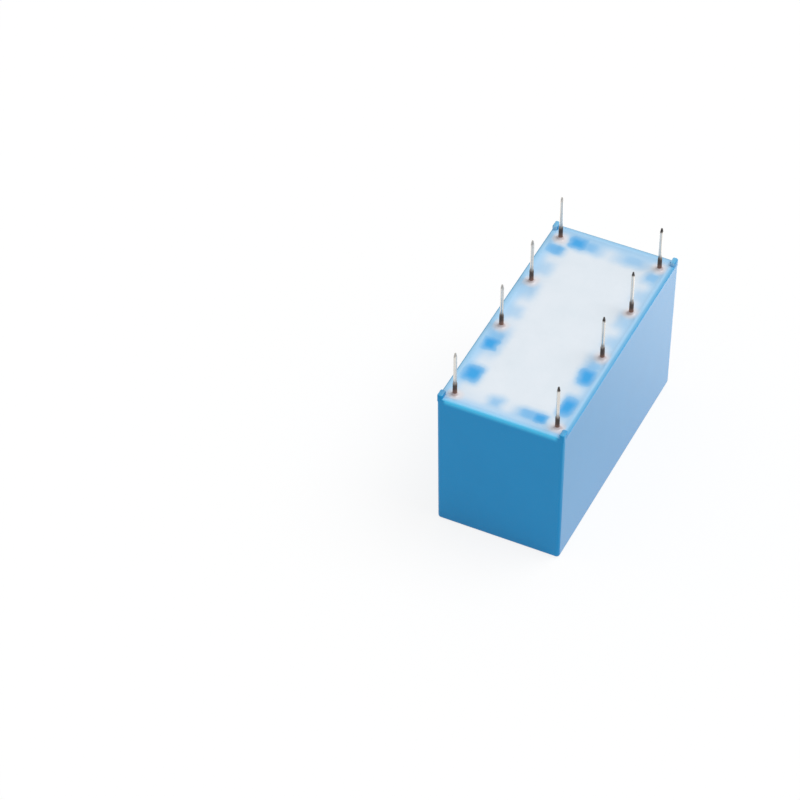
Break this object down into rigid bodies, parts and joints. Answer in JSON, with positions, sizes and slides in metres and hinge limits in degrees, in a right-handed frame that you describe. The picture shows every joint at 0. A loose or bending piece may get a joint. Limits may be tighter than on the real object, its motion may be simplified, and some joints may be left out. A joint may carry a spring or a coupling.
{
  "type": "signal relay",
  "caption": "Sealed two-pole changeover signal relay: drafted blue case, potted pin side with standoff feet, sprung armature, card and contact springs inside.",
  "frame": {"origin": "middle of the case's closed face, which is the bottom centre of the bounding box", "axes": "+Z out of the base along the pins; +X along the length from the coil pins to the contact pins; +Y to the left side"},
  "size_m": [0.02, 0.0094, 0.0154],
  "materials": {
    "case_plastic": "moulded satin blue thermoplastic",
    "base_plastic": "moulded blue thermoplastic",
    "potting": "milky white sealing resin, slightly glossy",
    "tinned_terminal": "tinned copper alloy, browned at the foot of each pin",
    "bobbin_plastic": "moulded ivory plastic",
    "copper": "enamelled copper wire",
    "tape": "yellow polyester tape",
    "soft_iron": "nickel-plated soft iron",
    "spring_bronze": "rolled spring bronze",
    "card_plastic": "moulded ivory plastic",
    "contact_silver": "silver contact rivets"
  },
  "bodies": {
    "root": {"cover": "case_plastic", "base": "base_plastic", "potting": "potting", "coil_terminal_left": "tinned_terminal", "coil_terminal_right": "tinned_terminal", "common_terminal_left": "tinned_terminal", "common_terminal_right": "tinned_terminal", "closed_terminal_left": "tinned_terminal", "closed_terminal_right": "tinned_terminal", "open_terminal_left": "tinned_terminal", "open_terminal_right": "tinned_terminal", "bobbin": "bobbin_plastic", "winding": "copper", "winding_tape": "tape", "lead_wire_left": "copper", "lead_wire_right": "copper", "core": "soft_iron", "yoke": "soft_iron", "hinge_spring": "spring_bronze", "closed_contact_left": "contact_silver", "closed_contact_right": "contact_silver", "open_contact_left": "contact_silver", "open_contact_right": "contact_silver"},
    "armature": {"armature": "soft_iron"},
    "card": {"card": "card_plastic"},
    "spring_left": {"moving_spring_left": "spring_bronze", "moving_contact_left": "contact_silver"},
    "spring_right": {"moving_spring_right": "spring_bronze", "moving_contact_right": "contact_silver"}
  },
  "joints": [
    {"name": "armature_hinge", "type": "hinge", "parent": "root", "child": "armature", "pos_m": [-0.00802, 0, 0.009], "axis": [0, -1, 0], "range_deg": [0, 3.93], "stiffness_Nm_per_rad": 0.001, "springref_deg": -11.46},
    {"name": "card_slide", "type": "slide", "parent": "root", "child": "card", "axis": [1, 0, 0], "range_m": [0, 0.0005345]},
    {"name": "spring_left_flex", "type": "hinge", "parent": "root", "child": "spring_left", "pos_m": [0.00593, 0.00291, 0.00915], "axis": [0, -1, 0], "range_deg": [0, 3.85]},
    {"name": "spring_right_flex", "type": "hinge", "parent": "root", "child": "spring_right", "pos_m": [0.00593, -0.00291, 0.00915], "axis": [0, -1, 0], "range_deg": [0, 3.85]}
  ],
  "couplings": [
    {"joint": "card_slide", "follows": "armature_hinge", "m_per_rad": 0.0077939},
    {"joint": "spring_left_flex", "follows": "armature_hinge", "ratio": 0.9811},
    {"joint": "spring_right_flex", "follows": "armature_hinge", "ratio": 0.9811}
  ]
}
